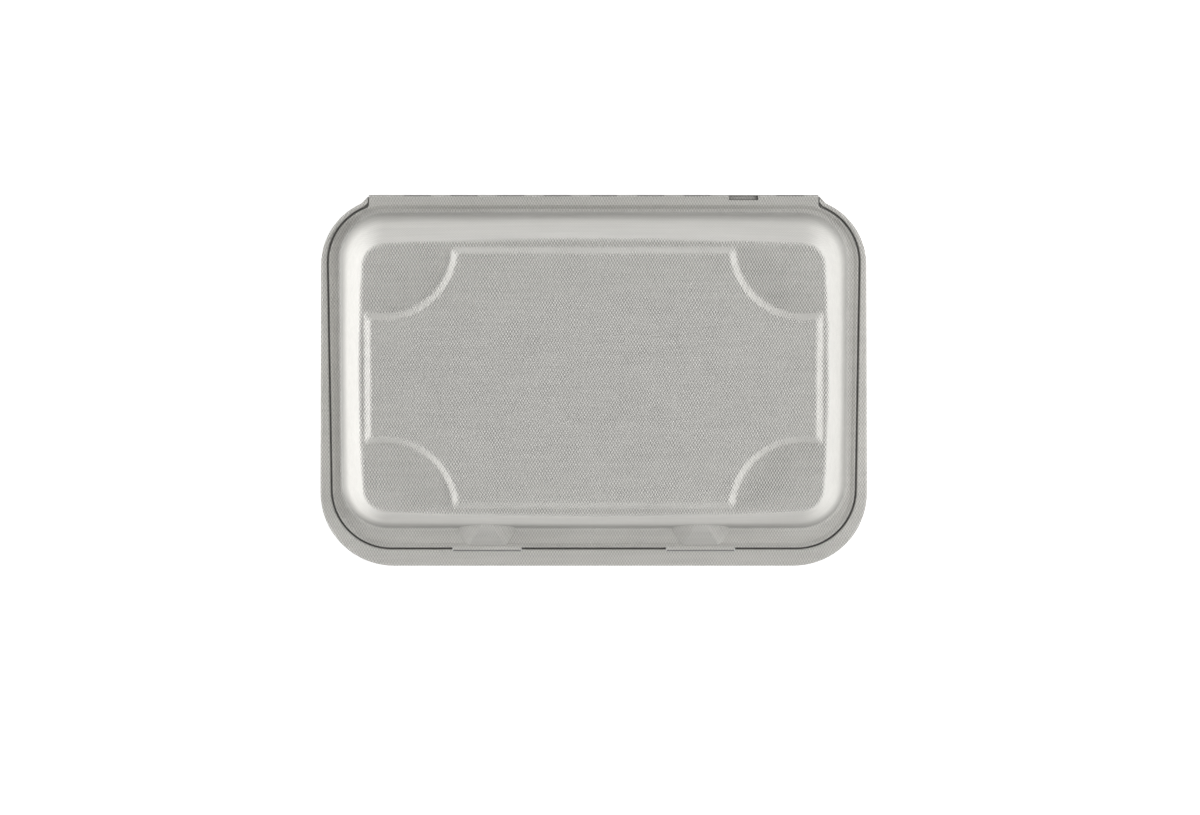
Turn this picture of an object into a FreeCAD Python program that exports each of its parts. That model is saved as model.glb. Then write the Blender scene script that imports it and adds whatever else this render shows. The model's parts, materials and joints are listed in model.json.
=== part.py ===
# A hinged clamshell food box, moulded in one sheet of sugar-cane pulp and folded shut along its back.
#
# Millimetres. +Z is up, -Y is the front with its two lock tabs, +Y is the back with the fold.
# The origin is under the middle of the closed box, on the surface that it stands on.
#
# The lower half is a drafted tray. Its rim is a ledge that the lid's flange lies on, with a border
# raised round it. A shallow valley runs round ledge and flange alike, along the foot of the walls.
# The tray's crown bows outwards between the corners, and its floor is raised in the middle, so
# that the box stands on four corner feet. The lid is the same form upside down. Its raised middle
# panel leaves four quarter-round pads, which take the feet of a box stacked on top. Each half is
# an outer form less an inner one, a wall's thickness inside it. The halves stay joined by the web
# of the fold, which is slit along its length so that it bends, and one of the slits has torn open.

import FreeCAD, Part
import Sketcher
import math
import os
import re

SIZES = [
    # the whole box
    ("depth", 159.8, "front edge of the rim to the crest of the fold"),
    ("base_height", 40.0, "standing surface to the ledge of the tray's rim"),
    ("lid_height", 36.0, "underside of the lid's flange to the top of its panel"),
    ("wall", 0.8, "thickness of the moulded pulp"),
    ("flange_gap", 0.3, "air between the closed flanges"),
    # rim of the tray
    ("rim_width", 235.2, "across the rim at its front corners"),
    ("rim_taper", 0.9, "how much nearer the middle each side is at the back"),
    ("rim_back_gap", 1.2, "back of the rim to the crest of the fold"),
    ("rim_corner_front", 31.5, "corner radius of the rim"),
    ("rim_corner_back", 29.0, "corner radius of the rim"),
    ("border_rise", 1.0, "height of the border above the ledge"),
    ("border_gap", 0.5, "groove between the lid's flange and the foot of the border"),
    ("border_run", 0.5, "how far the border's inner slope leans back"),
    ("border_round", 0.8, "radius along the top of the inner slope"),
    ("lip_fall", 0.15, "how far the rim thins to its outer edge"),
    ("lip_reach", 0.8, "width of the thinner edge"),
    ("shoulder_reach", 4.2, "how far a shoulder runs along the rim from the end of the fold"),
    # flange of the lid
    ("lid_side_front", 5.4, "side of the rim to the flange at the front corners"),
    ("lid_side_back", 3.5, "side of the rim to the flange at the back corners"),
    ("lid_front_gap", 8.1, "front edge of the rim to the flange"),
    ("lid_back_gap", 4.0, "back of the flange's corners to the crest of the fold"),
    ("lid_corner", 25.0, "corner radius of the flange"),
    ("valley_band", 0.3, "edge of the flange to its valley"),
    ("valley_run", 1.5, "width of the valley's slope"),
    ("valley_dip", 0.6, "depth of the valley round flange and ledge"),
    # mouth of both halves, where the walls meet the valleys
    ("mouth_side_gap", 9.3, "side of the rim to the wall"),
    ("mouth_front_gap", 16.7, "front edge of the rim to the wall"),
    ("mouth_back_gap", 7.8, "wall to the crest of the fold"),
    ("mouth_corner", 20.0, "corner radius of the walls at the flange"),
    ("mouth_round", 2.6, "outer radius where a wall meets its flange"),
    # crown: the far edge of the walls, at the top of the lid and the foot of the tray
    ("crown_inset_x", 9.1, "how far the lid's side walls lean in at their middle"),
    ("crown_inset_y", 8.85, "how far its front and back walls lean in at their middle"),
    ("crown_corner", 10.0, "corner radius of the crown"),
    ("crown_round", 2.0, "outer radius along the crown"),
    ("floor_spread", 1.5, "how far the tray's crown stands outside the lid's"),
    ("side_bow", 1.7, "how far each side of the crown bows outwards"),
    ("front_bow", 2.2, "how far the crown's front and back bow outwards"),
    # raised middle panel
    ("panel_inset_x", 2.7, "side of the crown to the foot of the panel's slope"),
    ("panel_inset_y", 3.6, "front or back of the crown to the foot of the slope"),
    ("panel_rise", 2.4, "height of the panel above the corner pads"),
    ("panel_lean", 50.0, "lean of its slope from upright, in degrees"),
    ("panel_round", 1.7, "radius at the foot and the top of the slope"),
    ("panel_corner", 2.5, "radius where the slope turns round a pad"),
    ("pad_radius", 28.5, "radius of the quarter-round corner pads"),
    ("pad_inset_x", 8.4, "foot of the slope to the centre of a pad, inwards"),
    ("pad_outset_y", 0.6, "foot of the slope to the centre of a pad, outwards"),
    ("stack_gap", 0.5, "clearance round a panel under the tray of the next box"),
    # lock tabs of the lid, the slots that they enter and the gussets over them
    ("tab_spacing", 92.0, "centre of one tab to the other"),
    ("tab_length", 29.2, "one tab, along the front edge"),
    ("tab_reach", 1.7, "how far a tab stands out of the flange"),
    ("tab_drop", 4.5, "how far a tab hangs below the flange"),
    ("tab_round", 1.2, "radius over a tab's bend"),
    ("tab_flare", 0.7, "hollow radius at a tab's root"),
    ("slot_gap", 0.35, "clearance of a tab at its ends and behind it"),
    ("slot_rest", 0.15, "clearance of a tab before it, where it rests when locked"),
    ("gusset_width", 16.1, "a gusset along the edge of the flange"),
    ("gusset_splay", 58.4, "angle of its sides to the front edge, in degrees"),
    ("gusset_lean", 58.0, "lean of its facets from upright, in degrees"),
    ("gusset_rise", 7.0, "height of the wedge that makes a gusset"),
    ("gusset_setback", 0.3, "edge of the flange to a gusset"),
    # fold
    ("fold_end_gap", 17.2, "end of the fold to the side of the lid's flange"),
    ("fold_round", 2.0, "hollow radius at the ends of the lid's leaf"),
    ("web_radius", 0.8, "radius of the folded web"),
    ("web_gap", 0.18, "clearance of the lid's flange round the web"),
    ("slit_pitch", 19.9, "one slit to the next"),
    ("slit_count", 9, "slits along the fold"),
    ("slit_length", 11.5, "one slit, end to end"),
    ("slit_depth", 0.7, "one slit, from the crest inwards"),
    ("slit_shift", 4.3, "middle of the box to the middle slit"),
    ("notch_order", 3, "the torn slit's place, counted from the middle one"),
    ("notch_length", 12.4, "torn slit, end to end"),
    ("notch_depth", 2.2, "torn slit, from the crest inwards"),
]
NAMES = [name for name, value, meaning in SIZES]

# Places that several features share, as formulas in the sheet's names.
MIDDLE_Y = "((mouth_front_gap - mouth_back_gap) / 2)"
MOUTH_BACK = "(depth / 2 - mouth_back_gap)"
HALF_MOUTH_X = "(rim_width / 2 - mouth_side_gap)"
HALF_MOUTH_Y = "((depth - mouth_front_gap - mouth_back_gap) / 2)"
HALF_CROWN_X = f"({HALF_MOUTH_X} - crown_inset_x)"
HALF_CROWN_Y = f"({HALF_MOUTH_Y} - crown_inset_y)"
HALF_PANEL_X = f"({HALF_CROWN_X} - panel_inset_x)"
HALF_PANEL_Y = f"({HALF_CROWN_Y} - panel_inset_y)"
HALF_LID_FRONT = "(rim_width / 2 - lid_side_front)"
HALF_LID_BACK = "(rim_width / 2 - rim_taper - lid_side_back)"
HALF_FOLD = f"({HALF_LID_BACK} - fold_end_gap)"
RIM_TOP = "base_height"
BORDER_TOP = "(base_height + border_rise)"
LID_FOOT = "(base_height + flange_gap)"
LID_MOUTH = "(base_height + flange_gap - valley_dip)"
TRAY_MOUTH = "(base_height - valley_dip)"
LID_TOP = "(base_height + flange_gap + lid_height)"
LID_CROWN = "(base_height + flange_gap + lid_height - panel_rise)"
FOLD_Y = "(depth / 2 - web_radius)"
FOLD_Z = "(base_height + flange_gap / 2)"
LID_FRONT = "(depth / 2 - lid_front_gap)"
LID_BACK = "(depth / 2 - lid_back_gap)"
LEAF_TIP = "(depth / 2 - 2 * web_radius - web_gap)"
# Where the side of the lid's leaf leaves the round corner of its flange.
LEAF_ROOT = f"({LID_BACK} - lid_corner + sqrt(lid_corner^2 - (lid_corner - fold_end_gap)^2))"
# How far a face leans for each millimetre of its height.
LID_SLOPE = "(crown_inset_x / (lid_height + valley_dip - panel_rise))"
TRAY_SLOPE = "((crown_inset_x - floor_spread) / (base_height - valley_dip))"
VALLEY_SLOPE = "(valley_run / valley_dip)"
BORDER_SLOPE = "(border_run / border_rise)"
PANEL_SLOPE = "tan(panel_lean)"
GUSSET_SLOPE = "tan(gusset_lean)"
# A face that climbs further than this belongs to a wall, and not to the panel.
TALL = "(panel_rise + wall)"

# Two places closer than this are the same.
NEAR = 1e-4

doc = FreeCAD.newDocument("clamshell")
sheet = doc.addObject("Spreadsheet::Sheet", "Sizes")
working = doc.addObject("Spreadsheet::Sheet", "Working")


def fill_sheet():
    """Writes every driving size into the sheet, with its name as the cell's alias."""
    for row, (name, value, meaning) in enumerate(SIZES, start=1):
        sheet.set(f"A{row}", name)
        sheet.set(f"B{row}", str(value))
        sheet.set(f"C{row}", meaning)
        sheet.setAlias(f"B{row}", name)
    doc.recompute()


def linked(formula):
    """The formula with each size's name led by its sheet's name."""
    return re.sub(r"[a-z_]+", lambda word: "Sizes." + word.group() if word.group() in NAMES
                  else word.group(), formula)


def number(formula):
    """The present value of a formula, worked out in a sheet of its own."""
    working.set("A1", "=" + linked(formula))
    working.recompute()
    return float(working.get("A1"))


def bind(item, place, formula):
    """Ties a property to a formula in the sheet's names."""
    item.setExpression(place, linked(formula))


def skin(slope):
    """How far an inner outline lies inside the outer one, a wall's thickness further on.

    The slope is how far the face between them leans for each millimetre of its height.
    """
    return f"(wall * (sqrt(1 + {slope}^2) - {slope}))"


# ---------------------------------------------------------------- sketches

def new_sketch(body, name, plane, offset):
    """A sketch on one of the body's own planes, moved along the plane's normal."""
    sketch = body.newObject("Sketcher::SketchObject", name)
    support = next(item for item in body.Origin.OriginFeatures if item.Role == plane)
    sketch.AttachmentSupport = [(support, "")]
    sketch.MapMode = "FlatFace"
    bind(sketch, ".AttachmentOffset.Base.z", offset)
    return sketch


def hold(sketch, kind, points, formula):
    """Adds a dimension to a sketch and ties it to a formula."""
    place = sketch.addConstraint(Sketcher.Constraint(kind, *points, number(formula)))
    bind(sketch, f"Constraints[{place}]", formula)


def hold_point(sketch, line, end, across, along):
    """Ties one point of a sketch to its place, measured from the sketch's origin."""
    for kind, axis, formula in (("DistanceX", -2, across), ("DistanceY", -1, along)):
        value = number(formula)
        if abs(value) < NEAR:
            sketch.addConstraint(Sketcher.Constraint("PointOnObject", line, end, axis))
        elif value > 0:
            hold(sketch, kind, (-1, 1, line, end), formula)
        else:
            hold(sketch, kind, (line, end, -1, 1), f"-({formula})")


def polygon(sketch, corners):
    """A closed outline of straight lines through corners given as pairs of formulas."""
    points = [FreeCAD.Vector(number(across), number(along), 0) for across, along in corners]
    for start, end in zip(points, points[1:] + points[:1]):
        sketch.addGeometry(Part.LineSegment(start, end))
    for line in range(len(corners)):
        following = (line + 1) % len(corners)
        sketch.addConstraint(Sketcher.Constraint("Coincident", line, 2, following, 1))
    for line, (across, along) in enumerate(corners):
        hold_point(sketch, line, 1, across, along)


def arc(centre, radius, start, end):
    """An arc of a circle, anticlockwise from one angle to another, in degrees."""
    circle = Part.Circle(FreeCAD.Vector(*centre, 0), FreeCAD.Vector(0, 0, 1), radius)
    return Part.ArcOfCircle(circle, math.radians(start), math.radians(end))


def join_tangent(sketch, count):
    """Joins each piece of a closed outline to the next, with no corner between them."""
    for piece in range(count):
        following = (piece + 1) % count
        sketch.addConstraint(Sketcher.Constraint("Tangent", piece, 2, following, 1))


def straight_outline(sketch, half_front, half_back, front, back, round_front, round_back):
    """Straight front, back and sides with round corners; the sides may lean a little.

    The first two formulas are half the width where the sides end, and the next two the
    distances of the front and the back from the sketch's X axis.
    """
    wide, narrow = number(half_front), number(half_back)
    low, high = -number(front), number(back)
    near, far = number(round_front), number(round_back)
    line = Part.LineSegment
    spot = FreeCAD.Vector
    sketch.addGeometry([
        line(spot(near - wide, low, 0), spot(wide - near, low, 0)),
        arc((wide - near, low + near), near, -90, 0),
        line(spot(wide, low + near, 0), spot(narrow, high - far, 0)),
        arc((narrow - far, high - far), far, 0, 90),
        line(spot(narrow - far, high, 0), spot(far - narrow, high, 0)),
        arc((far - narrow, high - far), far, 90, 180),
        line(spot(-narrow, high - far, 0), spot(-wide, low + near, 0)),
        arc((near - wide, low + near), near, 180, 270),
    ])
    join_tangent(sketch, 8)
    sketch.addConstraint(Sketcher.Constraint("Horizontal", 0))
    sketch.addConstraint(Sketcher.Constraint("Horizontal", 4))
    hold(sketch, "DistanceY", (0, 1, -1, 1), front)
    hold(sketch, "DistanceY", (-1, 1, 4, 1), back)
    hold(sketch, "DistanceX", (-1, 1, 2, 1), half_front)
    hold(sketch, "DistanceX", (-1, 1, 2, 2), half_back)
    hold(sketch, "DistanceX", (6, 2, -1, 1), half_front)
    hold(sketch, "DistanceX", (6, 1, -1, 1), half_back)
    for corner, radius in ((1, round_front), (3, round_back), (5, round_back), (7, round_front)):
        hold(sketch, "Radius", (corner,), radius)


def bowed_outline(sketch, half_width, half_depth, corner):
    """Front, back and sides that bow outwards, with round corners, about the mouth's middle."""
    # The radius of an arc follows from its bow and the half of its span.
    side_span = f"({half_depth} - {corner})"
    front_span = f"({half_width} - {corner})"
    side_radius = f"(({side_span}^2 + side_bow^2) / (2 * side_bow))"
    front_radius = f"(({front_span}^2 + front_bow^2) / (2 * front_bow))"
    side, front, small = number(side_radius), number(front_radius), number(corner)
    middle = number(MIDDLE_Y)
    side_centre = number(half_width) - side
    front_centre = number(half_depth) - front
    # A corner's centre lies on both arcs drawn in by the corner's radius.
    apart = math.hypot(side_centre, front_centre)
    along = ((side - small) ** 2 - (front - small) ** 2 + apart ** 2) / (2 * apart)
    off = math.sqrt((side - small) ** 2 - along ** 2)
    towards = (-side_centre / apart, front_centre / apart)
    turned = (-towards[1], towards[0])
    corner_x = side_centre + along * towards[0] + off * turned[0]
    corner_y = along * towards[1] + off * turned[1]
    lean = math.degrees(math.atan2(corner_y, corner_x - side_centre))
    rise = math.degrees(math.atan2(corner_y - front_centre, corner_x))
    sketch.addGeometry([
        arc((0, middle - front_centre), front, rise - 180, -rise),
        arc((corner_x, middle - corner_y), small, -rise, -lean),
        arc((side_centre, middle), side, -lean, lean),
        arc((corner_x, middle + corner_y), small, lean, rise),
        arc((0, middle + front_centre), front, rise, 180 - rise),
        arc((-corner_x, middle + corner_y), small, 180 - rise, 180 - lean),
        arc((-side_centre, middle), side, 180 - lean, 180 + lean),
        arc((-corner_x, middle - corner_y), small, 180 + lean, 180 + rise),
    ])
    join_tangent(sketch, 8)
    hold_point(sketch, 0, 3, "0", f"{MIDDLE_Y} - {half_depth} + {front_radius}")
    hold_point(sketch, 2, 3, f"{half_width} - {side_radius}", MIDDLE_Y)
    hold_point(sketch, 4, 3, "0", f"{MIDDLE_Y} + {half_depth} - {front_radius}")
    hold_point(sketch, 6, 3, f"{side_radius} - {half_width}", MIDDLE_Y)
    for piece, radius in enumerate([front_radius, corner, side_radius, corner] * 2):
        hold(sketch, "Radius", (piece,), radius)


# ---------------------------------------------------------------- features

def finish(body, feature):
    """Makes a feature the body's last one and works it out."""
    body.Tip = feature
    doc.recompute()
    return feature


def pad(body, sketch, length, lean=None, up=True, both=False):
    """Adds material from a sketch, with sides that spread by the lean as they go."""
    feature = body.newObject("PartDesign::Pad", sketch.Name + "_pad")
    feature.Profile = sketch
    feature.Reversed = not up
    feature.Midplane = both
    bind(feature, "Length", length)
    if lean:
        bind(feature, "TaperAngle", lean)
    return finish(body, feature)


def pocket(body, sketch, length, lean=None, up=True):
    """Cuts a level sketch's outline away, with sides that spread by the lean as they go."""
    feature = body.newObject("PartDesign::Pocket", sketch.Name + "_pocket")
    feature.Profile = sketch
    feature.Reversed = up
    bind(feature, "Length", length)
    if lean:
        bind(feature, "TaperAngle", lean)
    return finish(body, feature)


def loft(body, name, start, end):
    """A solid with straight rulings between two sketches."""
    feature = body.newObject("PartDesign::AdditiveLoft", name)
    feature.Profile = start
    feature.Sections = [end]
    feature.Ruled = True
    return finish(body, feature)


def cut_body(body, name, tool):
    """Cuts another body's form away."""
    feature = body.newObject("PartDesign::Boolean", name)
    feature.Type = "Cut"
    feature.setObjects([tool])
    return finish(body, feature)


def round_edges(body, name, radius, chosen):
    """Rounds the chosen edges of the body's last feature."""
    base = body.Tip
    feature = body.newObject("PartDesign::Fillet", name)
    feature.Base = (base, chosen(base.Shape))
    bind(feature, "Radius", radius)
    return finish(body, feature)


def edge_names(shape, wanted):
    """The names of the edges that pass a test."""
    return [f"Edge{place}" for place, edge in enumerate(shape.Edges, start=1) if wanted(edge)]


def heights(item):
    """The lowest and the highest corner of a face or an edge."""
    levels = [corner.Z for corner in item.Vertexes]
    return min(levels), max(levels)


def middle_of(edge):
    """The point halfway along an edge."""
    return edge.valueAt((edge.FirstParameter + edge.LastParameter) / 2)


def is_level(edge, level):
    """Whether an edge lies at a height all along."""
    return all(abs(place - level) < NEAR for place in (*heights(edge), middle_of(edge).z))


def foot_edges(height, least, most=math.inf):
    """Chooses the edges at a height from which a face climbs by at least and at most so much."""
    def choose(shape):
        level = number(height)
        climbing = [edge for face in shape.Faces for edge in face.Edges
                    if abs(heights(face)[0] - level) < NEAR
                    and number(least) < heights(face)[1] - level < most]
        return edge_names(shape, lambda edge: is_level(edge, level)
                          and any(edge.isSame(other) for other in climbing))
    return choose


def top_edges(height, least):
    """Chooses the edges at a height from which a face falls by at least so much."""
    def choose(shape):
        level = number(height)
        falling = [edge for face in shape.Faces for edge in face.Edges
                   if abs(heights(face)[1] - level) < NEAR
                   and level - heights(face)[0] > number(least)]
        return edge_names(shape, lambda edge: is_level(edge, level)
                          and any(edge.isSame(other) for other in falling))
    return choose


def upright_edges(shape, wanted):
    """The names of the edges that stand straight up at a place that passes a test."""
    def stands(edge):
        low, high = heights(edge)
        point = middle_of(edge)
        leans = any(math.hypot(corner.X - point.x, corner.Y - point.y) > NEAR
                    for corner in edge.Vertexes)
        return high - low > NEAR and not leans and wanted(point)
    return edge_names(shape, stands)


# ---------------------------------------------------------------- forms that both halves share

def bowl(body, name, mouth, crown, slope, spread, inside):
    """The drafted walls between mouth and crown, closed at both ends.

    An inside form lies a wall's thickness inside the outer one.
    """
    mouth_inset = f"wall * sqrt(1 + {slope}^2)" if inside else "0"
    crown_inset = skin(slope) if inside else "0"
    rim = new_sketch(body, name + "_mouth", "XY_Plane", mouth)
    half_width = f"({HALF_MOUTH_X} - {mouth_inset})"
    half_depth = f"({HALF_MOUTH_Y} - {mouth_inset})"
    corner = f"(mouth_corner - {mouth_inset})"
    straight_outline(rim, half_width, half_width, f"({half_depth} - {MIDDLE_Y})",
                     f"({half_depth} + {MIDDLE_Y})", corner, corner)
    end = new_sketch(body, name + "_crown", "XY_Plane", crown)
    bowed_outline(end, f"({HALF_CROWN_X} + {spread} - {crown_inset})",
                  f"({HALF_CROWN_Y} + {spread} - {crown_inset})",
                  f"(crown_corner + {spread} - {crown_inset})")
    # The loft runs downwards, which keeps its faces turned outwards.
    upper, lower = (end, rim) if number(crown) > number(mouth) else (rim, end)
    loft(body, name + "_walls", upper, lower)


def rectangle(sketch, across, along):
    """A rectangle between two places across the box and two along it."""
    (left, right), (near, far) = across, along
    polygon(sketch, [(left, near), (right, near), (right, far), (left, far)])


def mirrored(body, name, features):
    """Repeats features on the other side of the box's middle."""
    feature = body.newObject("PartDesign::Mirrored", name)
    feature.Originals = features
    plane = next(item for item in body.Origin.OriginFeatures if item.Role == "YZ_Plane")
    feature.MirrorPlane = (plane, [""])
    finish(body, feature)


def slit_outline(sketch, order, length, inwards):
    """The outline of a slit, from outside the crest of the fold inwards."""
    centre = f"(slit_shift + {order} * slit_pitch)"
    rectangle(sketch, (f"{centre} - {length} / 2", f"{centre} + {length} / 2"),
              (f"depth / 2 - {inwards}", "depth / 2 + web_radius"))


def panel(body, name, level, grow):
    """The raised middle panel, standing up from a level, with its four corner pads cut out."""
    slope = new_sketch(body, name, "XY_Plane", level)
    across, along = f"({HALF_PANEL_X} + {grow})", f"({HALF_PANEL_Y} + {grow})"
    polygon(slope, [(f"-{across}", f"{MIDDLE_Y} - {along}"), (across, f"{MIDDLE_Y} - {along}"),
                    (across, f"{MIDDLE_Y} + {along}"), (f"-{across}", f"{MIDDLE_Y} + {along}")])
    pad(body, slope, "panel_rise", "-panel_lean")
    pads = new_sketch(body, name + "_pads", "XY_Plane", level)
    radius = f"pad_radius - {grow}"
    for end in ("-", "+"):
        place = (f"{HALF_PANEL_X} - pad_inset_x",
                 f"{MIDDLE_Y} {end} ({HALF_PANEL_Y} + pad_outset_y)")
        centre = FreeCAD.Vector(number(place[0]), number(place[1]), 0)
        circle = pads.addGeometry(Part.Circle(centre, FreeCAD.Vector(0, 0, 1), number(radius)))
        hold_point(pads, circle, 3, *place)
        hold(pads, "Radius", (circle,), radius)
    mirrored(body, name + "_pads_mirrored", [pocket(body, pads, "panel_rise", "panel_lean")])
    climb = (number(level), number(level) + number("panel_rise"))
    round_edges(body, name + "_corners", "panel_corner", lambda shape: edge_names(
        shape, lambda edge: all(abs(place - goal) < NEAR
                                for place, goal in zip(heights(edge), climb))))


# ---------------------------------------------------------------- lid

def lid_cavity():
    """The hollow of the lid, a wall's thickness inside its outer form."""
    form = doc.addObject("PartDesign::Body", "lid_cavity")
    crown, top = f"({LID_CROWN} - wall)", f"({LID_TOP} - wall)"
    bowl(form, "lid_inner", LID_MOUTH, crown, LID_SLOPE, "0", inside=True)
    round_edges(form, "lid_inner_crown_round", "crown_round - wall", top_edges(crown, TALL))
    panel(form, "lid_inner_panel", crown, f"(-{skin(PANEL_SLOPE)})")
    round_edges(form, "lid_inner_panel_top", "panel_round - wall", top_edges(top, "wall"))
    round_edges(form, "lid_inner_panel_foot", "panel_round + wall",
                foot_edges(crown, "wall", number(TALL)))
    return form


def lid_outline(sketch, outset):
    """The outline of the lid's flange, drawn outwards by an outset."""
    straight_outline(sketch, f"({HALF_LID_FRONT} + {outset})", f"({HALF_LID_BACK} + {outset})",
                     f"({LID_FRONT} + {outset})", f"({LID_BACK} + {outset})",
                     f"(lid_corner + {outset})", f"(lid_corner + {outset})")


def valley(body, name, foot):
    """Presses a valley into a flange that stands on a level, from the band along its edge inwards."""
    lean = "-atan(valley_run / valley_dip)"
    below = new_sketch(body, name + "_below", "XY_Plane", foot)
    lid_outline(below, f"({skin(VALLEY_SLOPE)} - valley_band)")
    pad(body, below, "valley_dip", lean, up=False)
    above = new_sketch(body, name + "_above", "XY_Plane", f"({foot} + wall)")
    lid_outline(above, "(0 - valley_band)")
    pocket(body, above, "valley_dip", lean, up=False)


def lid_flange(body):
    """The flange round the lid with its leaf and tabs, and the valley inside its edge."""
    flange = new_sketch(body, "lid_flange", "XY_Plane", LID_FOOT)
    lid_outline(flange, "0")
    pad(body, flange, "wall")
    leaf = new_sketch(body, "lid_leaf", "XY_Plane", LID_FOOT)
    rectangle(leaf, (f"-{HALF_FOLD}", HALF_FOLD), (MOUTH_BACK, LEAF_TIP))
    pad(body, leaf, "wall")
    side, start, end = number(HALF_FOLD), number(MOUTH_BACK), number(LEAF_TIP)
    round_edges(body, "lid_leaf_roots", "fold_round", lambda shape: upright_edges(
        shape, lambda point: abs(abs(point.x) - side) < NEAR and start < point.y < end - NEAR))
    lid_tabs(body)
    valley(body, "lid_valley", LID_FOOT)
    notch = new_sketch(body, "lid_notch", "XY_Plane", LID_FOOT)
    slit_outline(notch, "notch_order", "notch_length", "notch_depth")
    pocket(body, notch, "wall")


def lid_tabs(body):
    """Two tongues that stand out of the front of the flange and turn down into their slots."""
    sides = ("tab_spacing / 2 - tab_length / 2", "tab_spacing / 2 + tab_length / 2")
    edge, tip = f"-{LID_FRONT}", f"(-{LID_FRONT} - tab_reach)"
    tongue = new_sketch(body, "tab_tongue", "XY_Plane", LID_FOOT)
    rectangle(tongue, sides, (tip, f"{edge} + wall"))
    flat = pad(body, tongue, "wall")
    drop = new_sketch(body, "tab_drop", "XY_Plane", LID_FOOT)
    rectangle(drop, sides, (tip, f"{tip} + wall"))
    hang = pad(body, drop, "tab_drop", up=False)
    mirrored(body, "tabs_mirrored", [flat, hang])
    front, end, top = number(edge), number(tip), number(f"{LID_FOOT} + wall")
    roots = [number(side) for side in sides]
    round_edges(body, "tab_roots", "tab_flare", lambda shape: upright_edges(
        shape, lambda point: abs(point.y - front) < NEAR
        and any(abs(abs(point.x) - root) < NEAR for root in roots)))
    round_edges(body, "tab_bends", "tab_round", lambda shape: edge_names(
        shape, lambda line: is_level(line, top) and abs(middle_of(line).y - end) < NEAR))


def gusset(body, name, level, inset):
    """The outline of one faceted wedge between the flange and the wall, over a tab."""
    wedge = new_sketch(body, name, "XY_Plane", level)
    front = f"({inset} + gusset_setback - {LID_FRONT})"
    # The front and the back lean in alike, up to a narrow ridge that lies in the lid's hollow.
    back = f"({front} + 2 * gusset_rise * {GUSSET_SLOPE} + wall)"
    half = f"(gusset_width / 2 - {inset} * tan(45 - gusset_splay / 2))"
    spread = f"({half} + ({back} - {front}) / tan(gusset_splay))"
    centre = "tab_spacing / 2"
    polygon(wedge, [(f"{centre} - {half}", front), (f"{centre} + {half}", front),
                    (f"{centre} + {spread}", back), (f"{centre} - {spread}", back)])
    return wedge


def make_lid():
    """The lid: flange, walls, raised panel, tabs and gussets, hollowed from below."""
    body = doc.addObject("PartDesign::Body", "lid")
    lid_flange(body)
    bowl(body, "lid", LID_MOUTH, LID_CROWN, LID_SLOPE, "0", inside=False)
    round_edges(body, "lid_crown_round", "crown_round", top_edges(LID_CROWN, TALL))
    round_edges(body, "lid_wall_foot", "mouth_round", foot_edges(f"{LID_MOUTH} + wall", TALL))
    wedge = gusset(body, "gusset", f"{LID_MOUTH} + wall", "0")
    mirrored(body, "gussets_mirrored", [pad(body, wedge, "gusset_rise", "-gusset_lean")])
    panel(body, "lid_panel", LID_CROWN, "0")
    round_edges(body, "lid_panel_top", "panel_round", top_edges(LID_TOP, "wall"))
    round_edges(body, "lid_panel_foot", "panel_round",
                foot_edges(LID_CROWN, "wall", number(TALL)))
    cut_body(body, "lid_hollow", lid_cavity())
    round_edges(body, "lid_mouth_round", "mouth_round + wall", foot_edges(LID_MOUTH, TALL))
    hollow = gusset(body, "gusset_hollow", LID_MOUTH, skin(GUSSET_SLOPE))
    cut = pocket(body, hollow, "gusset_rise", "-gusset_lean")
    mirrored(body, "gusset_hollows_mirrored", [cut])
    return body


# ---------------------------------------------------------------- tray

def tray_rim(body):
    """The rim: a ledge for the lid's flange, and a border round it that is open at the fold."""
    plate = new_sketch(body, "border", "XY_Plane", f"{BORDER_TOP} - wall")
    rim_outline(plate)
    pad(body, plate, "wall - lip_fall")
    edge = new_sketch(body, "border_top", "XY_Plane", f"{BORDER_TOP} - lip_fall")
    rim_outline(edge)
    pad(body, edge, "lip_fall", "-atan(lip_reach / lip_fall)")
    shoulders(body)
    ledge = new_sketch(body, "ledge", "XY_Plane", f"{RIM_TOP} - wall")
    lid_outline(ledge, f"(border_gap + {skin(BORDER_SLOPE)})")
    pad(body, ledge, "border_rise", "atan(border_run / border_rise)")
    dish = new_sketch(body, "dish", "XY_Plane", RIM_TOP)
    lid_outline(dish, "border_gap")
    pocket(body, dish, "border_rise", "atan(border_run / border_rise)")
    round_edges(body, "border_inner_round", "border_round", top_edges(BORDER_TOP, "border_rise / 2"))
    opening = new_sketch(body, "border_opening", "XY_Plane", RIM_TOP)
    fold_outline(opening, "depth / 2")
    pocket(body, opening, "border_rise")
    leaf = new_sketch(body, "tray_leaf", "XY_Plane", f"{RIM_TOP} - wall")
    fold_outline(leaf, FOLD_Y)
    pad(body, leaf, "wall")
    valley(body, "tray_valley", f"({RIM_TOP} - wall)")


def fold_outline(sketch, back):
    """A stretch of the rim along the fold, widest at its foot, where the lid's leaf has roots."""
    end, wide = f"({HALF_FOLD} + border_gap)", f"({HALF_FOLD} + border_gap + fold_round)"
    step = f"({LEAF_ROOT} + fold_round)"
    polygon(sketch, [(f"-{wide}", MOUTH_BACK), (wide, MOUTH_BACK), (wide, LEAF_ROOT),
                     (end, step), (end, back), (f"-{end}", back), (f"-{end}", step),
                     (f"-{wide}", LEAF_ROOT)])


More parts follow.
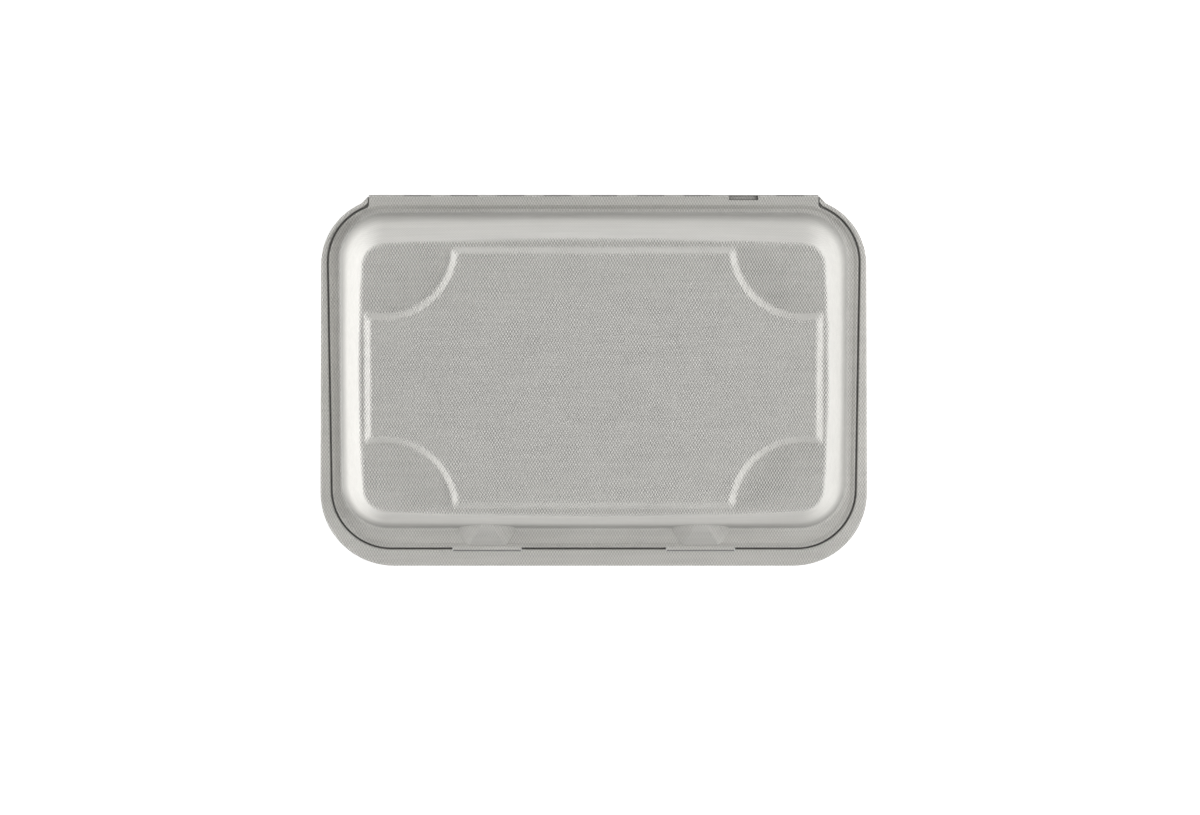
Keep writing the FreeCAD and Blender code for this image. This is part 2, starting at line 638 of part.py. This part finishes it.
def shoulders(body):
    """The rim runs out to the crest of the fold at both of its ends."""
    foot = f"({HALF_FOLD} + border_gap + shoulder_reach)"
    # A shoulder's foot stays a wall's thickness inside the round corner of the rim.
    across = f"({foot} - rim_width / 2 + rim_taper + rim_corner_back)"
    level = (f"(depth / 2 - rim_back_gap - rim_corner_back - wall"
             f" + sqrt(rim_corner_back^2 - {across}^2))")
    shoulder = new_sketch(body, "shoulder", "XY_Plane", f"{BORDER_TOP} - wall")
    polygon(shoulder, [(HALF_FOLD, level), (foot, level),
                       (f"({HALF_FOLD} + border_gap)", FOLD_Y), (HALF_FOLD, FOLD_Y)])
    mirrored(body, "shoulders_mirrored", [pad(body, shoulder, "wall - lip_fall")])


def rim_outline(sketch):
    """The outline of the rim."""
    straight_outline(sketch, "rim_width / 2", "(rim_width / 2 - rim_taper)", "depth / 2",
                     "(depth / 2 - rim_back_gap)", "rim_corner_front", "rim_corner_back")


def raised_form(name, level, grow, top_round):
    """A panel on its own, to be cut out of another form."""
    form = doc.addObject("PartDesign::Body", name)
    panel(form, name + "_panel", level, grow)
    round_edges(form, name + "_top_round", top_round,
                top_edges(f"({level} + panel_rise)", "wall"))
    return form


def tray_cavity():
    """The hollow of the tray, with the raised middle of its floor left standing."""
    form = doc.addObject("PartDesign::Body", "tray_cavity")
    bowl(form, "tray_inner", TRAY_MOUTH, "wall", TRAY_SLOPE, "floor_spread", inside=True)
    round_edges(form, "tray_inner_crown_round", "crown_round - wall",
                foot_edges("wall", TALL))
    boss = raised_form("tray_boss", "wall", f"(stack_gap + {skin(PANEL_SLOPE)})",
                       "panel_round + wall")
    cut_body(form, "tray_inner_boss", boss)
    round_edges(form, "tray_boss_foot", "panel_round", foot_edges("wall", "wall",
                                                                number(TALL)))
    return form


def tray_fold(body):
    """The web of the fold along the back, with its slits and the torn one."""
    web = new_sketch(body, "web", "YZ_Plane", "0")
    centre = FreeCAD.Vector(number(FOLD_Y), number(FOLD_Z), 0)
    web.addGeometry(Part.Circle(centre, FreeCAD.Vector(0, 0, 1), number("web_radius")))
    hold_point(web, 0, 3, FOLD_Y, FOLD_Z)
    hold(web, "Radius", (0,), "web_radius")
    pad(body, web, f"2 * {HALF_FOLD}", both=True)
    # A slit opens the upper half of the web and leaves the lower one standing.
    upper_half = "flange_gap + web_radius"
    slit = new_sketch(body, "slit", "XY_Plane", RIM_TOP)
    slit_outline(slit, "(1 - slit_count) / 2", "slit_length", "slit_depth")
    cut = pocket(body, slit, upper_half)
    row = body.newObject("PartDesign::LinearPattern", "slit_row")
    row.Originals = [cut]
    along = next(item for item in body.Origin.OriginFeatures if item.Role == "X_Axis")
    row.Direction = (along, [""])
    bind(row, "Length", "slit_pitch * (slit_count - 1)")
    bind(row, "Occurrences", "slit_count")
    finish(body, row)
    notch = new_sketch(body, "torn_slit", "XY_Plane", RIM_TOP)
    slit_outline(notch, "notch_order", "notch_length", "notch_depth")
    pocket(body, notch, upper_half)


def tab_slots(body):
    """The openings through border and ledge that the lid's tabs enter."""
    tip = f"(-{LID_FRONT} - tab_reach)"
    sides = ("tab_spacing / 2 - tab_length / 2 - slot_gap",
             "tab_spacing / 2 + tab_length / 2 + slot_gap")
    gate = new_sketch(body, "tab_gate", "XY_Plane", RIM_TOP)
    rectangle(gate, sides, (f"{tip} - slot_rest", f"-{LID_FRONT}"))
    above = pocket(body, gate, "border_rise")
    slot = new_sketch(body, "tab_slot", "XY_Plane", f"{RIM_TOP} - wall")
    rectangle(slot, sides, (f"{tip} - slot_rest", f"{tip} + wall + slot_gap"))
    mirrored(body, "slots_mirrored", [above, pocket(body, slot, "wall")])


def make_tray():
    """The tray: rim, walls, floor on four corner feet, tab slots and fold."""
    body = doc.addObject("PartDesign::Body", "base_tray")
    tray_rim(body)
    tab_slots(body)
    tray_fold(body)
    bowl(body, "tray", TRAY_MOUTH, "0", TRAY_SLOPE, "floor_spread", inside=False)
    round_edges(body, "tray_wall_top", "mouth_round", top_edges(f"{TRAY_MOUTH} - wall", TALL))
    round_edges(body, "tray_crown_round", "crown_round", foot_edges("0", TALL))
    cut_body(body, "tray_recess", raised_form("tray_under", "0", "stack_gap", "panel_round"))
    round_edges(body, "tray_feet_round", "panel_round + wall",
                foot_edges("0", "wall", number(TALL)))
    cut_body(body, "tray_hollow", tray_cavity())
    round_edges(body, "tray_mouth_round", "mouth_round + wall", top_edges(TRAY_MOUTH, TALL))
    return body


# ---------------------------------------------------------------- files

def write_parts(parts):
    """Writes each part's solid, once nothing in the document has failed."""
    for item in doc.Objects:
        failed = [state for state in item.State if state in ("Invalid", "Error")]
        if failed:
            raise RuntimeError(f"{item.Name} failed: {item.State}")
    for body in parts:
        if body.Shape.isNull() or not body.Shape.isValid() or len(body.Shape.Solids) != 1:
            raise RuntimeError(f"{body.Label} is not one valid solid")
    os.makedirs("parts", exist_ok=True)
    for body in parts:
        body.Shape.exportStep(f"parts/{body.Label}.step")
        print(body.Label, "volume", round(body.Shape.Volume), "mm3")


fill_sheet()
write_parts([make_tray(), make_lid()])
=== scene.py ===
"""The looks of a closed food box of moulded sugar-cane pulp, seen from straight above."""

import json
import math

import bmesh
import bpy
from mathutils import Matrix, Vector


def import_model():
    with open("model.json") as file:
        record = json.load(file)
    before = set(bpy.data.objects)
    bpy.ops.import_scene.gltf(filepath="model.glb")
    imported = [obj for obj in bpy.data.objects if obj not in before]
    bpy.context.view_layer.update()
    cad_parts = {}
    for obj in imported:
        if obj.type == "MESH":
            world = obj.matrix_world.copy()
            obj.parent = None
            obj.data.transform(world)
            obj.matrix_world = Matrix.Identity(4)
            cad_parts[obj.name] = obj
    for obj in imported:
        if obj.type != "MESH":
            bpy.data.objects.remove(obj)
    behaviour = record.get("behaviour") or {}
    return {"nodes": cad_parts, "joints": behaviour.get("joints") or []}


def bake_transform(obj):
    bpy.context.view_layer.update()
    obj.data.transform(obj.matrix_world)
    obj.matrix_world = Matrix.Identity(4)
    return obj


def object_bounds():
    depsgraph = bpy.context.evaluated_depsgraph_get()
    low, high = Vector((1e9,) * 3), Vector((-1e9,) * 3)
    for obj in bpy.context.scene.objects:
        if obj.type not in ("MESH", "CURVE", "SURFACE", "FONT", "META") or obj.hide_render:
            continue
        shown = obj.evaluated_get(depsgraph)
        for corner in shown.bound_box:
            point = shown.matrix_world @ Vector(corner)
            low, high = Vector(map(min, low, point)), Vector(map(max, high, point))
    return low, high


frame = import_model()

CAD_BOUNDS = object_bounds()


# ---------------------------------------------------------------- material nodes

class Shader:
    """The nodes of a material or of the world, added one after another."""

    def __init__(self, owner, output):
        owner.use_nodes = True
        self.tree = owner.node_tree
        self.tree.nodes.clear()
        self.output = self.node(output)

    def node(self, kind, inputs=(), **settings):
        """A node with its settings, and with values or other nodes' outputs on its inputs."""
        made = self.tree.nodes.new("ShaderNode" + kind)
        for name, value in settings.items():
            setattr(made, name, value)
        for place, value in dict(inputs).items():
            if isinstance(value, bpy.types.NodeSocket):
                self.tree.links.new(value, made.inputs[place])
            else:
                made.inputs[place].default_value = value
        return made

    def math(self, operation, *values):
        """The result of a calculation on values or outputs."""
        return self.node("Math", enumerate(values), operation=operation).outputs[0]

    def fade(self, value, low, high, start=0.0, end=1.0):
        """A value taken smoothly from one range to another."""
        inputs = {"Value": value, "From Min": low, "From Max": high, "To Min": start, "To Max": end}
        return self.node("MapRange", inputs, interpolation_type="SMOOTHSTEP").outputs["Result"]

    def noise(self, place, scale, detail=3.0, roughness=0.5):
        """Fractal noise between 0 and 1, with its scale in turns for each metre."""
        inputs = {"Vector": place, "Scale": scale, "Detail": detail, "Roughness": roughness}
        return self.node("TexNoise", inputs).outputs["Fac"]

    def seen(self):
        """1 on rays that show a thing to the camera, straight or by gloss, and 0 on others."""
        path = self.node("LightPath").outputs
        mirrored = self.math("MAXIMUM", path["Is Glossy Ray"], path["Is Transmission Ray"])
        return self.math("MAXIMUM", path["Is Camera Ray"], mirrored)

    def finish(self, surface):
        """Puts a shader's output on the surface."""
        self.tree.links.new(surface, self.output.inputs["Surface"])


MM = 0.001
RIM_HEIGHT = 40 * MM
PULP_COLOUR = (0.672, 0.662, 0.631)
PULP_GLOSS = {"Roughness": 0.45, "IOR": 1.45, "Specular IOR Level": 0.3}
# The print of the forming mesh: the size of its cells along and across, how deep it is, and
# how much it shifts the tone.
CELL_LENGTH = 2.0 * MM
CELL_WIDTH = 1.2 * MM
PRINT_DEPTH = 0.16 * MM
PRINT_TONE = 0.38
# What is left of the print on a wall, and on what lies level with the rim: how level a surface
# is, and how far from the rim it lies, where the print is weakest and where it is whole.
WALL_PRINT = 0.45
PRINT_LEVEL = (0.5, 0.95)
RIM_PRINT = 0.5
PRINT_NEAR = 0.7 * RIM_HEIGHT
PRINT_FAR = 0.8 * RIM_HEIGHT
# The mesh sagged as it was formed, so its rows wander, and it pressed harder in some places.
WANDER_SCALE = 90.0
WANDER = 1.4 * MM
PRESS_SCALE = 130.0
PRESS_RANGE = (0.8, 1.25)
# Streaks, drawn out along the walls, then fibres, then clouds of uneven thickness: how fine
# each is, how high it stands, and the least and most that it adds to the tone.
STREAK_STRETCH = (0.06, 1.0, 1.0)
STREAK_SCALE = 420.0
STREAK_HEIGHT = 0.3 * MM
STREAK_TONE = (-0.03, 0.03)
FIBRE_SCALE = 2600.0
FIBRE_HEIGHT = 0.05 * MM
FIBRE_TONE = (-0.02, 0.02)
CLOUD_SCALE = 55.0
CLOUD_HEIGHT = 0.4 * MM
CLOUD_TONE = (0.98, 1.01)
GRAIN_STRENGTH = 0.5
# The part of a noise's range that is used, and the wider part for the fibres.
NOISE_RANGE = (0.3, 0.7)
FIBRE_RANGE = (0.25, 0.75)
# Painted shade in the gap at the rim: how far the walls of a gap reach to darken its floor, how
# dark the painted shade gets, how open to the sky the surface is where it begins and ends, and how
# far from the rim it fades out.
GAP_REACH = 6.0 * MM
GAP_PAINTED_SHADE = 0.2
GAP_CLOSED = 0.1
GAP_OPEN = 0.87
GAP_NEAR = 5.0 * MM
GAP_FAR = 25.0 * MM
GAP_SAMPLES = 8
# Painted shade on the walls towards the rim: where it starts on a wall, how far up it reaches, how
# dark it gets, and how level a surface is where a wall begins and ends.
FOOT_START = 1.0 * MM
FOOT_HEIGHT = 14.0 * MM
FOOT_PAINTED_SHADE = 0.6
WALL_LEVEL = (0.75, 0.98)


def pressed_mesh(shader, place, turns, from_rim):
    """The print of the forming mesh, laid on from the side that a surface faces most."""
    x, y, z = shader.node("SeparateXYZ", {"Vector": place}).outputs
    wander = shader.math("MULTIPLY", shader.noise(place, WANDER_SCALE, 2.0), WANDER)
    wide, long, deep, tall = [
        shader.math("COSINE", shader.math(
            "MULTIPLY", shader.math("ADD", axis, wander), 2 * math.pi / period))
        for axis, period in ((x, CELL_WIDTH), (y, CELL_LENGTH), (z, CELL_WIDTH), (z, CELL_LENGTH))]
    cells = [shader.math("MULTIPLY", *pair) for pair in ((deep, long), (wide, tall), (wide, long))]
    printed = 0.0
    for cell, turn in zip(cells, turns):
        printed = shader.math("MULTIPLY_ADD", cell, shader.math("POWER", turn, 2.0), printed)
    # The print is plain on the top and the floor, and was rubbed out on the walls and rims.
    plain = shader.fade(from_rim, PRINT_NEAR, PRINT_FAR, RIM_PRINT, 1.0)
    pressed = shader.math("MULTIPLY", shader.fade(turns[2], *PRINT_LEVEL, WALL_PRINT, 1.0), plain)
    uneven = shader.fade(shader.noise(place, PRESS_SCALE, 2.0), *NOISE_RANGE, *PRESS_RANGE)
    return shader.math("MULTIPLY", printed, shader.math("MULTIPLY", pressed, uneven))


def with_painted_shade(shader, tone, level, from_rim):
    """A tone with painted shade: darker in the gap at the rim, and on the walls towards the rim."""
    # Painted shade: the gap's floor is darkened by how closed in it is.
    hollow = shader.node("AmbientOcclusion", {"Distance": GAP_REACH},
                         samples=GAP_SAMPLES)
    gap_painted_shade = shader.fade(hollow.outputs["AO"], GAP_CLOSED, GAP_OPEN, GAP_PAINTED_SHADE, 1.0)
    near_rim = shader.fade(from_rim, GAP_NEAR, GAP_FAR, 1.0, 0.0)
    gap_painted_shade = shader.node("Mix", {"Factor": near_rim, "A": 1.0, "B": gap_painted_shade}).outputs["Result"]
    tone = shader.math("MULTIPLY", tone, gap_painted_shade)
    # Painted shade on the walls, darker towards the rim.
    steep = shader.fade(level, *WALL_LEVEL, 1.0, 0.0)
    foot = shader.fade(from_rim, FOOT_START, FOOT_HEIGHT, 1.0 - FOOT_PAINTED_SHADE, 0.0)
    foot_painted_shade = shader.math("MULTIPLY", steep, foot)
    return shader.math("MULTIPLY", tone, shader.math("SUBTRACT", 1.0, foot_painted_shade))


def pulp():
    """Pressed pulp: the print of a forming mesh, streaks, fibres and clouds, with painted shade
    near the rim.
    """
    material = bpy.data.materials.new("pulp")
    shader = Shader(material, "OutputMaterial")
    place = shader.node("TexCoord").outputs["Object"]
    facing = shader.node("TexCoord").outputs["Normal"]
    turns = [shader.math("ABSOLUTE", turn) for turn
             in shader.node("SeparateXYZ", {"Vector": facing}).outputs]
    height = shader.node("SeparateXYZ", {"Vector": place}).outputs["Z"]
    from_rim = shader.math("ABSOLUTE", shader.math("SUBTRACT", height, RIM_HEIGHT))

    mesh_print = pressed_mesh(shader, place, turns, from_rim)
    drawn = shader.node("VectorMath", {0: place, 1: STREAK_STRETCH}, operation="MULTIPLY")
    streaks = shader.noise(drawn.outputs[0], STREAK_SCALE, 3.0, 0.6)
    fibres = shader.noise(place, FIBRE_SCALE, 4.0, 0.6)
    clouds = shader.noise(place, CLOUD_SCALE, 3.0)

    normal = {}
    for relief, distance, strength in ((mesh_print, PRINT_DEPTH, 1.0),
                                       (fibres, FIBRE_HEIGHT, GRAIN_STRENGTH),
                                       (streaks, STREAK_HEIGHT, GRAIN_STRENGTH),
                                       (clouds, CLOUD_HEIGHT, GRAIN_STRENGTH)):
        bump = shader.node("Bump", {"Height": relief, "Distance": distance,
                                    "Strength": strength, **normal})
        normal = {"Normal": bump.outputs[0]}

    tone = shader.math("ADD", shader.fade(clouds, *NOISE_RANGE, *CLOUD_TONE),
                       shader.fade(fibres, *FIBRE_RANGE, *FIBRE_TONE))
    tone = shader.math("ADD", tone, shader.fade(streaks, *NOISE_RANGE, *STREAK_TONE))
    tone = shader.math("MULTIPLY_ADD", mesh_print, PRINT_TONE, tone)
    # Painted shade in the gap at the rim and on the walls towards it.
    tone = with_painted_shade(shader, tone, turns[2], from_rim)
    colour = shader.node("VectorMath", {0: PULP_COLOUR, "Scale": tone}, operation="SCALE")
    surface = shader.node("BsdfPrincipled", {
        "Base Color": colour.outputs[0], **PULP_GLOSS, **normal})
    shader.finish(surface.outputs[0])
    return material


# ---------------------------------------------------------------- stage

PICTURE_WIDTH = 515.5 * MM
CAMERA_HEIGHT = 1.70
CAMERA_TILT = 0.10
AIM = Vector((2.7 * MM, -11.4 * MM, RIM_HEIGHT))
SENSOR = 36.0
CAMERA_CLIP = (0.1, 20.0)
# How white the open floor is to the camera beyond the light on it.
GLOW = 0.6
# Painted shadow on the floor where the closed box stands, where its glow fades out: its middle, its
# half length and half width without the round corners, their radius, and how far in the painted
# shadow has grown dark.
SHADE_MIDDLE = (0.0, -2.5 * MM, 0.0)
SHADE_REACH = (88.0 * MM, 49.0 * MM, 1.0)
SHADE_ROUND = 31.0 * MM
SHADE_DEPTH = 20.0 * MM
# Painted shade patches on the floor that the tabs' slots look down on, where the glow is taken
# away: the middle of each, its half length, its front, how far behind that it begins and ends to
# fade, and its soft edge.
TAB_X = 46.5 * MM
TAB_REACH = 17.0 * MM
SLOT_FRONT = -80.5 * MM
SLOT_FADE = (20.0 * MM, 30.0 * MM)
SLOT_EDGE = 1.0 * MM
# How strong the even light of the world is, and how far the floor reaches each way.
WORLD = 0.24
FLOOR_REACH = 3.0
FLOOR_COLOUR = (0.85, 0.85, 0.85, 1.0)
WHITE = (1.0, 1.0, 1.0, 1.0)


def glow_outside_painted_shadow(shader):
    """The share of the glow: 1 where the floor lies open, less and less under the box as painted
    shadow, and 0 in the painted shade where its slots look.
    """
    place = shader.node("TexCoord").outputs["Object"]
    from_middle = shader.node("VectorMath", {0: place, 1: SHADE_MIDDLE}, operation="SUBTRACT")
    folded = shader.node("VectorMath", {0: from_middle.outputs[0]}, operation="ABSOLUTE")
    past = shader.node("VectorMath", {0: folded.outputs[0], 1: SHADE_REACH}, operation="SUBTRACT")
    outside = shader.node("VectorMath", {0: past.outputs[0], 1: (0.0, 0.0, 0.0)},
                          operation="MAXIMUM")
    away = shader.node("VectorMath", {0: outside.outputs[0]}, operation="LENGTH")
    # Painted shadow: the glow fades out under the box.
    outside_painted_shadow = shader.fade(away.outputs["Value"], SHADE_ROUND - SHADE_DEPTH, SHADE_ROUND)
    x, y, _ = shader.node("SeparateXYZ", {"Vector": place}).outputs
    # Painted shade: no glow where the tabs' slots look down on the floor.
    off_tab = shader.math("ABSOLUTE", shader.math("SUBTRACT", shader.math("ABSOLUTE", x), TAB_X))
    beside = shader.fade(off_tab, TAB_REACH, TAB_REACH + SLOT_EDGE)
    before = shader.fade(y, SLOT_FRONT - SLOT_EDGE, SLOT_FRONT, 1.0, 0.0)
    behind = shader.fade(y, *[SLOT_FRONT + reach for reach in SLOT_FADE])
    outside_slot_painted_shade = shader.math("MAXIMUM", beside, shader.math("MAXIMUM", before, behind))
    return shader.math("MULTIPLY", outside_painted_shadow, outside_slot_painted_shade)


def floor():
    """A pale floor that keeps the box's shadow, with painted shadow where its glow fades under the
    box, and is near white to the camera and in gloss.
    """
    lowest = CAD_BOUNDS[0].z
    mesh = bpy.data.meshes.new("floor")
    corners = [(FLOOR_REACH * x, FLOOR_REACH * y, lowest)
               for x, y in ((-1, -1), (1, -1), (1, 1), (-1, 1))]
    mesh.from_pydata(corners, [], [(0, 1, 2, 3)])
    plane = bpy.data.objects.new("floor", mesh)
    bpy.context.scene.collection.objects.link(plane)
    material = bpy.data.materials.new("floor")
    mesh.materials.append(material)
    shader = Shader(material, "OutputMaterial")
    paint = shader.node("BsdfDiffuse", {"Color": FLOOR_COLOUR})
    # The glow, taken away as painted shadow under the box and its slots.
    strength = shader.math("MULTIPLY", glow_outside_painted_shadow(shader), GLOW)
    glow = shader.node("Emission", {"Color": WHITE, "Strength": strength})
    both = shader.node("AddShader", {0: paint.outputs[0], 1: glow.outputs[0]})
    shader.finish(shader.node("MixShader", {
        "Fac": shader.seen(), 1: paint.outputs[0], 2: both.outputs[0]}).outputs[0])


def world():
    """Even light from all round, and white to the camera and in gloss."""
    made = bpy.data.worlds.new("studio")
    bpy.context.scene.world = made
    shader = Shader(made, "OutputWorld")
    strength = shader.node("Mix", {"Factor": shader.seen(), "A": WORLD, "B": 1.0})
    shader.finish(shader.node("Background", {
        "Color": WHITE, "Strength": strength.outputs["Result"]}).outputs[0])


KEY_POWER = 16.0
# Each lamp: its place, the width and height of its face, and its share of the key's power.
LAMPS = {
    "key": ((-1.3, 0.0, 0.14), (0.9, 0.24), 1.0),
    "right_low": ((1.3, 0.0, 0.14), (0.9, 0.24), 0.45),
    "right_high": ((1.3, 0.0, 0.85), (0.8, 0.6), 0.5),
    "back_low": ((0.0, 1.3, 0.14), (0.9, 0.24), 0.25),
    "back_high": ((0.0, 1.2, 1.0), (0.8, 0.6), 0.15),
    "front_low": ((0.0, -1.4, 0.38), (0.9, 0.4), 0.25),
    "front_near": ((0.0, -0.4, 0.55), (0.5, 0.2), 0.02),
}


def lamps():
    """Soft oblong lamps, each turned to the middle of the box."""
    target = Vector((0.0, 0.0, RIM_HEIGHT))
    for name, (place, face, share) in LAMPS.items():
        lamp = bpy.data.lights.new(name, "AREA")
        lamp.shape = "RECTANGLE"
        lamp.size, lamp.size_y = face
        lamp.energy = KEY_POWER * share
        stand = bpy.data.objects.new(name, lamp)
        stand.location = place
        stand.rotation_mode = "QUATERNION"
        stand.rotation_quaternion = (target - stand.location).to_track_quat("-Z", "Y")
        bpy.context.scene.collection.objects.link(stand)


def camera():
    """Looks down from a little behind the fold, through a long lens."""
    lens = bpy.data.cameras.new("camera")
    lens.sensor_width = SENSOR
    lens.lens = SENSOR * CAMERA_HEIGHT / PICTURE_WIDTH
    lens.clip_start, lens.clip_end = CAMERA_CLIP
    made = bpy.data.objects.new("camera", lens)
    upright = math.hypot(1.0, CAMERA_TILT)
    away = Vector((0.0, CAMERA_TILT, 1.0)) / upright
    made.location = AIM + away * CAMERA_HEIGHT
    made.rotation_euler = (-math.atan(CAMERA_TILT), 0.0, 0.0)
    bpy.context.scene.collection.objects.link(made)
    bpy.context.scene.camera = made


# ---------------------------------------------------------------- fold

# Where the fold turns and how far back it reaches, as the frame has them.
HINGE = next(joint for joint in frame["joints"] if joint["name"] == "lid_hinge")
AXIS = Vector(HINGE["pos_m"])
CREST = CAD_BOUNDS[1].y
# The skin: half its length, its thickness, how far it stands from the axis behind it and above
# it, and where it ends on the lid's leaf and, a little further back, under it.
HALF_FOLD = 96.0 * MM
SKIN = 0.1 * MM
SKIN_BEHIND = 0.83 * MM
SKIN_ABOVE = 0.97 * MM
LEAF_END = 77.5 * MM
UNDER_END = LEAF_END + 0.6 * MM
ROUND_STEPS = 16
# Its slits, and the one that has torn open: a slit opens a strip along the crest, the torn one
# everything from there to the lid.
SLIT_COUNT = 9
SLIT_PITCH = 19.9 * MM
SLIT_SHIFT = 4.3 * MM
SLIT_LENGTH = 11.5 * MM
TORN_ORDER = 3
TORN_LENGTH = 12.4 * MM
STRIP_BACK = CREST - 0.25 * MM
STRIP_FRONT = CREST - 0.55 * MM
STRIP_FOOT = AXIS.z + 0.1 * MM


def fold_profile():
    """Points of the folded skin across the fold, from the lid's leaf over the crest and under."""
    points = [(LEAF_END, AXIS.z + SKIN_ABOVE)]
    for step in range(ROUND_STEPS + 1):
        turn = math.pi * (0.5 - step / ROUND_STEPS)
        points.append((AXIS.y + SKIN_BEHIND * math.cos(turn),
                       AXIS.z + SKIN_ABOVE * math.sin(turn)))
    points.append((UNDER_END, AXIS.z - SKIN_ABOVE))
    return points


def fold_slits():
    """Each slit's two ends along the fold, and whether it has torn open."""
    slits = []
    for place in range(SLIT_COUNT):
        order = place - SLIT_COUNT // 2
        torn = order == TORN_ORDER
        half = (TORN_LENGTH if torn else SLIT_LENGTH) / 2
        middle = SLIT_SHIFT + order * SLIT_PITCH
        slits.append((middle - half, middle + half, torn))
    return slits


def slit_open(torn, y, z):
    """Whether the skin is missing at a place in a slit."""
    front = -math.inf if torn else STRIP_FRONT
    return z > STRIP_FOOT and front < y < STRIP_BACK


def in_order(mesh):
    """A mesh's points and faces, in an order that doesn't change from run to run."""
    points = sorted(mesh.verts, key=lambda vert: tuple(vert.co))
    numbers = {vert: number for number, vert in enumerate(points)}
    faces = sorted([numbers[vert] for vert in face.verts] for face in mesh.faces)
    return [tuple(vert.co) for vert in points], faces


def fold_skin(material):
    """The skin of pulp that runs unbroken over the fold, opened by its slits."""
    profile = fold_profile()
    slits = fold_slits()
    stops = sorted([-HALF_FOLD, HALF_FOLD] + [stop for slit in slits for stop in slit[:2]])
    mesh = bmesh.new()
    rows = [[mesh.verts.new((stop, y, z)) for y, z in profile] for stop in stops]
    for left, right, near, far in zip(stops, stops[1:], rows, rows[1:]):
        middle = (left + right) / 2
        slit = next((slit for slit in slits if slit[0] < middle < slit[1]), None)
        for place in range(len(profile) - 1):
            y = (profile[place][0] + profile[place + 1][0]) / 2
            if slit and slit_open(slit[2], y, profile[place][1]):
                continue
            mesh.faces.new((near[place], far[place], far[place + 1], near[place + 1]))
    bmesh.ops.delete(mesh, geom=[vert for vert in mesh.verts if not vert.link_faces],
                     context="VERTS")
    bmesh.ops.solidify(mesh, geom=mesh.faces[:], thickness=SKIN)
    points, faces = in_order(mesh)
    mesh.free()
    data = bpy.data.meshes.new("fold_skin")
    data.from_pydata(points, [], faces)
    data.materials.append(material)
    skin = bpy.data.objects.new("fold_skin", data)
    bpy.context.scene.collection.objects.link(skin)
    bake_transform(skin)


def dress():
    """Gives every piece of the box its material."""
    material = pulp()
    for node in frame["nodes"].values():
        node.data.materials.clear()
        node.data.materials.append(material)
    fold_skin(material)


dress()
floor()
world()
lamps()
camera()
bpy.context.scene.view_settings.view_transform = "Standard"
